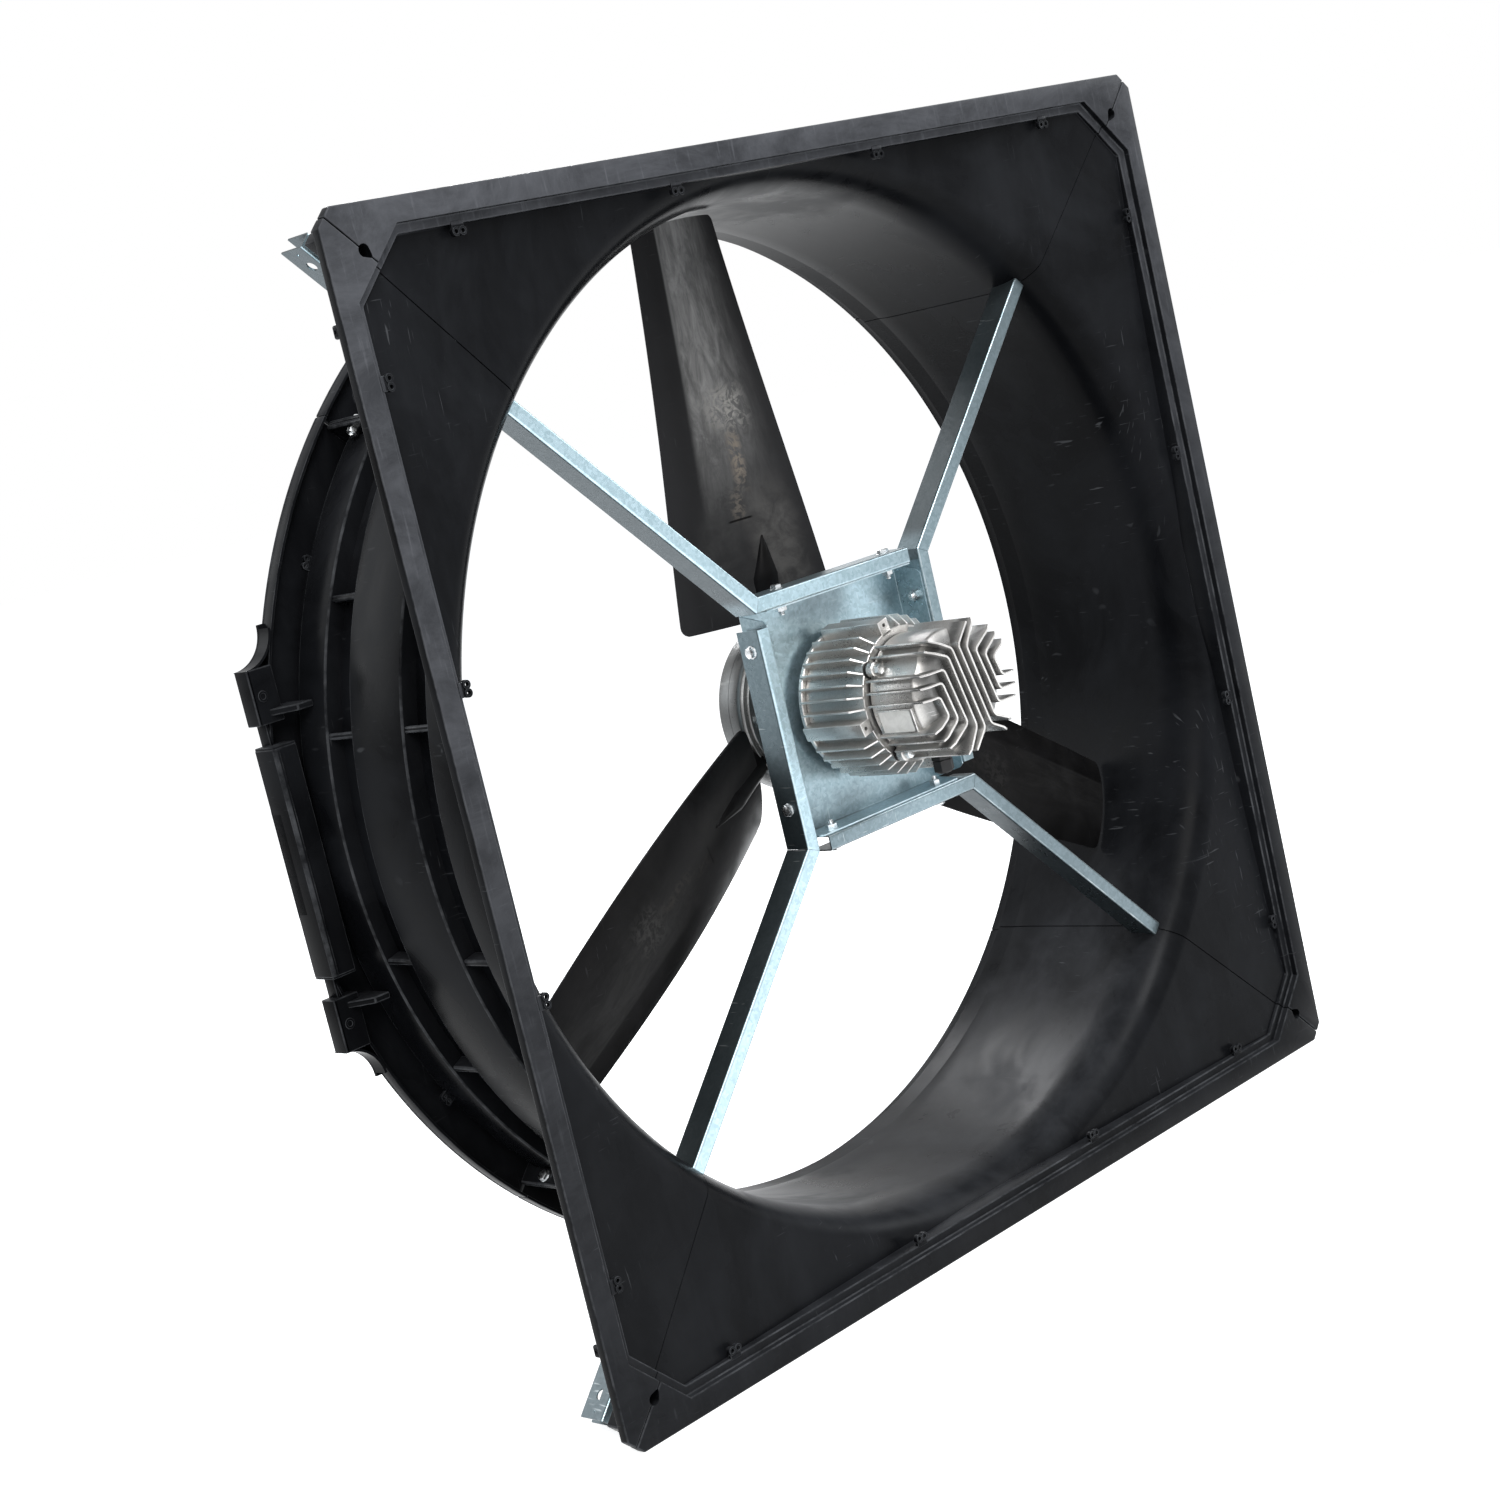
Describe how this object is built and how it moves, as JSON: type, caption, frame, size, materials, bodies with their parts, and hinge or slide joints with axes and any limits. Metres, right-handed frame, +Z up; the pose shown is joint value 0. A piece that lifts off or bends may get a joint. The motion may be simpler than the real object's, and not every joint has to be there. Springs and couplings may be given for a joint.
{
  "type": "barn ventilation fan",
  "caption": "Square wall ventilation fan with a moulded round duct, a cross of channel struts, a finned electronic motor and a free-spinning impeller.",
  "frame": {"origin": "middle of the four corner holes, on the flange's front face and the shaft", "axes": "+Z up, +X to the right seen from the flange side, +Y rearwards along the shaft"},
  "size_m": [1.4, 0.484, 1.4],
  "materials": {
    "housing_plastic": "satin, moulded",
    "blade_plastic": "satin, moulded",
    "galvanised_sheet": "galvanised",
    "zinc_fasteners": "zinc plated",
    "cast_aluminium": "die cast",
    "bright_steel": "ground",
    "core_steel": "laminated",
    "copper_windings": "enamelled copper",
    "black_rubber": "matt",
    "gland_plastic": "moulded",
    "plate_foil": "blank foil",
    "board": "printed circuit board",
    "capacitor_sleeve": "sleeved"
  },
  "bodies": {
    "frame": {"panel_top": "housing_plastic", "panel_right": "housing_plastic", "panel_bottom": "housing_plastic", "panel_left": "housing_plastic", "seam_bolts": "zinc_fasteners", "seam_nuts": "zinc_fasteners", "strut_upper_left": "galvanised_sheet", "strut_upper_right": "galvanised_sheet", "strut_lower_right": "galvanised_sheet", "strut_lower_left": "galvanised_sheet", "motor_plate": "galvanised_sheet", "plate_bolts": "zinc_fasteners", "plate_nuts": "zinc_fasteners", "motor_screws": "zinc_fasteners", "motor_body": "cast_aluminium", "front_shield": "cast_aluminium", "rear_shield": "cast_aluminium", "bearing_outer_rings": "bright_steel", "shaft_seal": "black_rubber", "stator_core": "core_steel", "stator_windings": "copper_windings", "electronics_cap": "cast_aluminium", "cap_screws": "zinc_fasteners", "cap_gasket": "black_rubber", "rating_plate": "plate_foil", "circuit_board": "board", "capacitors": "capacitor_sleeve", "cable_gland": "gland_plastic", "gland_nut": "gland_plastic", "gland_seal": "black_rubber"},
    "impeller": {"shaft": "bright_steel", "shaft_key": "bright_steel", "rotor_core": "core_steel", "rotor_magnets": "core_steel", "bearing_inner_rings": "bright_steel", "bearing_balls": "bright_steel", "hub_front": "cast_aluminium", "hub_rear": "cast_aluminium", "blade_1": "blade_plastic", "blade_2": "blade_plastic", "blade_3": "blade_plastic", "hub_bolts": "zinc_fasteners", "hub_nuts": "zinc_fasteners", "shaft_washer": "zinc_fasteners", "shaft_bolt": "zinc_fasteners"}
  },
  "joints": [
    {"name": "impeller_spin", "type": "hinge", "parent": "frame", "child": "impeller", "pos_m": [0, 0.205, 0], "axis": [0, 1, 0], "continuous": true}
  ]
}
